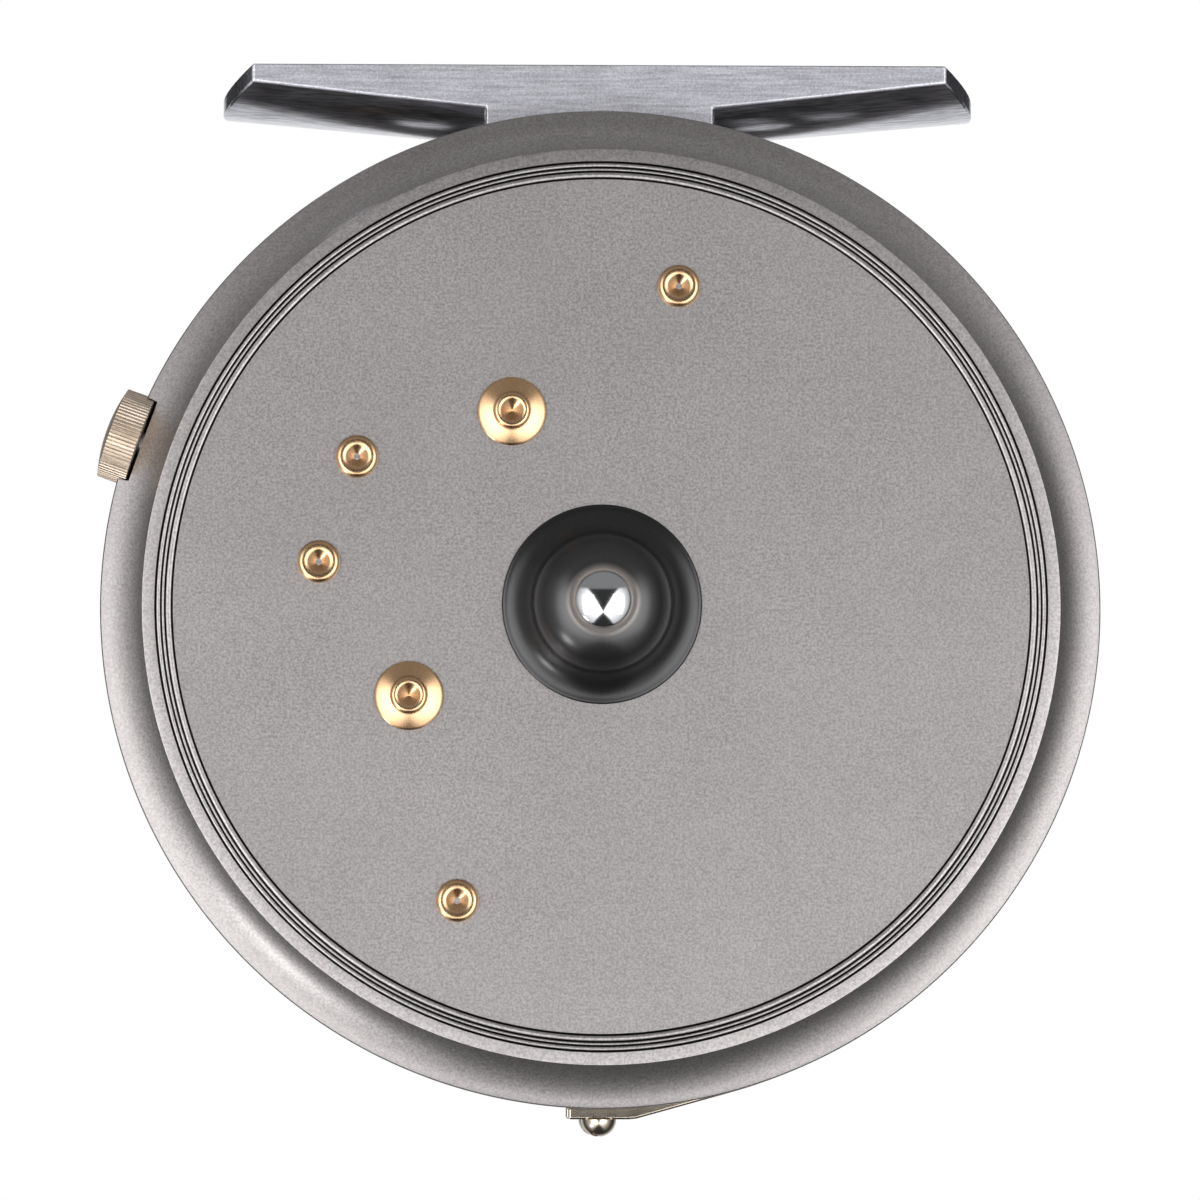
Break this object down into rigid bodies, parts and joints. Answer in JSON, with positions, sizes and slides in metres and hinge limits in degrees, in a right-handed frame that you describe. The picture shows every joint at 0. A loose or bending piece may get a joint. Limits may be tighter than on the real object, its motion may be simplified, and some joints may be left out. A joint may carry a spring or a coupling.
{
  "type": "fly reel",
  "caption": "Click-pawl fly reel with a satin caged frame, perforated spool, saddle foot, knurled rim regulator and line guard.",
  "frame": {"origin": "middle of the foot's saddle, on the line where the rod bears", "axes": "+Z out of the saddle towards the rod, +Y along the spool's axis towards the handle, +X along the foot"},
  "size_m": [0.0813, 0.0506, 0.0879],
  "materials": {
    "satin_aluminium": "fine matte satin",
    "polished_aluminium": "satin to polished",
    "spool_aluminium": "satin",
    "black_boss": "gloss black",
    "polished_steel": "polished",
    "hard_steel": "ground",
    "spring_steel": "blued spring steel",
    "nickel_silver": "bright nickel silver",
    "brass": "satin brass",
    "bronze": "plain bearing bronze",
    "grip_resin": "polished dark resin"
  },
  "bodies": {
    "reel": {"frame": "satin_aluminium", "hub_boss": "black_boss", "spindle": "polished_steel", "thrust_washer": "bronze", "reel_foot": "polished_aluminium", "foot_screws": "nickel_silver", "line_guard": "nickel_silver", "guard_screws": "nickel_silver", "pawl_post_upper": "brass", "pawl_post_lower": "brass", "post_washer_upper": "brass", "post_washer_lower": "brass", "spring_post_upper": "brass", "spring_post_lower": "brass", "guide_rivets": "brass", "regulator_guide": "brass", "click_spring_upper": "spring_steel", "click_spring_lower": "spring_steel", "pawl_clips": "spring_steel"},
    "spool": {"spool": "spool_aluminium", "ratchet_wheel": "brass", "ratchet_screws": "polished_steel", "rear_bush": "bronze", "front_bush": "bronze", "latch_spring": "spring_steel", "latch_cover": "nickel_silver", "latch_screws": "polished_steel", "handle_post": "polished_steel", "handle_washer": "nickel_silver", "handle_screw": "nickel_silver", "balance_weight": "nickel_silver", "weight_rivet": "brass"},
    "grip": {"handle_grip": "grip_resin"},
    "latch": {"latch_slide": "polished_steel"},
    "regulator": {"regulator_knob": "nickel_silver", "regulator_screw": "polished_steel", "regulator_clip": "spring_steel"},
    "slide": {"tension_slide": "brass"},
    "pawl_upper": {"pawl_upper": "hard_steel"},
    "pawl_lower": {"pawl_lower": "hard_steel"}
  },
  "joints": [
    {"name": "spool_spin", "type": "hinge", "parent": "reel", "child": "spool", "pos_m": [0, 0.0025, -0.04315], "axis": [0, 1, 0], "continuous": true},
    {"name": "grip_spin", "type": "hinge", "parent": "spool", "child": "grip", "pos_m": [0.02107, 0.02, -0.06083], "axis": [0, 1, 0], "continuous": true},
    {"name": "latch_press", "type": "slide", "parent": "spool", "child": "latch", "axis": [0.6428, 0, 0.766], "range_m": [-0.0016, 0], "stiffness_N_per_m": 400, "springref_m": 0.002, "deforming": ["latch_spring"]},
    {"name": "regulator_turn", "type": "hinge", "parent": "reel", "child": "regulator", "pos_m": [-0.03388, -0.0105, -0.03098], "axis": [0.9412, 0, -0.3379], "range_deg": [0, 960.5]},
    {"name": "slide_travel", "type": "slide", "parent": "reel", "child": "slide", "axis": [0.9412, 0, -0.3379], "range_m": [0, 0.0012], "deforming": ["click_spring_upper", "click_spring_lower"]},
    {"name": "pawl_upper_rock", "type": "hinge", "parent": "reel", "child": "pawl_upper", "pos_m": [-0.00727, -0.0084, -0.02756], "axis": [0, 1, 0], "range_deg": [-4, 4], "stiffness_Nm_per_rad": 0.02, "deforming": ["click_spring_upper"]},
    {"name": "pawl_lower_rock", "type": "hinge", "parent": "reel", "child": "pawl_lower", "pos_m": [-0.01552, -0.0084, -0.05056], "axis": [0, 1, 0], "range_deg": [-4, 4], "stiffness_Nm_per_rad": 0.02, "deforming": ["click_spring_lower"]}
  ],
  "couplings": [
    {"joint": "regulator_turn", "follows": "slide_travel", "rad_per_m": 13963}
  ]
}
